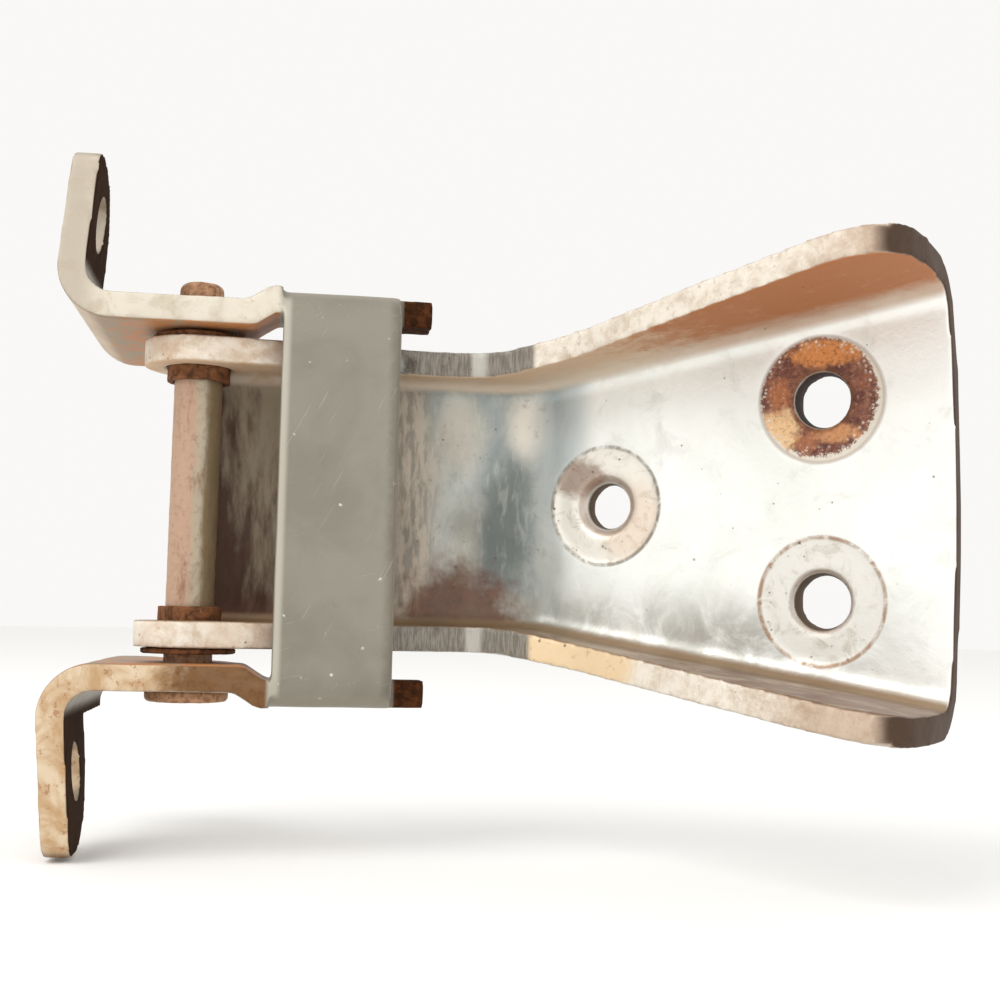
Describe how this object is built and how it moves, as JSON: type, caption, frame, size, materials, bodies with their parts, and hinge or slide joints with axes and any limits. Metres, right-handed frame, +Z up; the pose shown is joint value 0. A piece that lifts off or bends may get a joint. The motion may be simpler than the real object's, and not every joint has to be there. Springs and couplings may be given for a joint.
{
  "type": "door hinge",
  "caption": "Vehicle door hinge: a flared channel leaf with bolt holes and a U-shaped strap with two bolt feet, turning on a headed pin in flanged bushes.",
  "frame": {"origin": "centre of the leaf's middle hole on the mounting face", "axes": "+Y into the pillar, square to the mounting face; +X along the leaf to its wide end; +Z up along the hinge pin"},
  "size_m": [0.1524, 0.0669, 0.112],
  "materials": {
    "leaf_steel": "worn silver zinc, rusted at edges",
    "strap_steel": "satin warm grey, rusted at edges",
    "pin_steel": "worn, rusted",
    "bush_steel": "rusted"
  },
  "bodies": {
    "pillar_side": {"pillar_leaf": "leaf_steel", "upper_bush": "bush_steel", "lower_bush": "bush_steel"},
    "door_side": {"door_strap": "strap_steel", "hinge_pin": "pin_steel"}
  },
  "joints": [
    {"name": "door_swing", "type": "hinge", "parent": "pillar_side", "child": "door_side", "pos_m": [-0.056, -0.0442, 0], "axis": [0, 0, -1], "range_deg": [0, 75]}
  ]
}
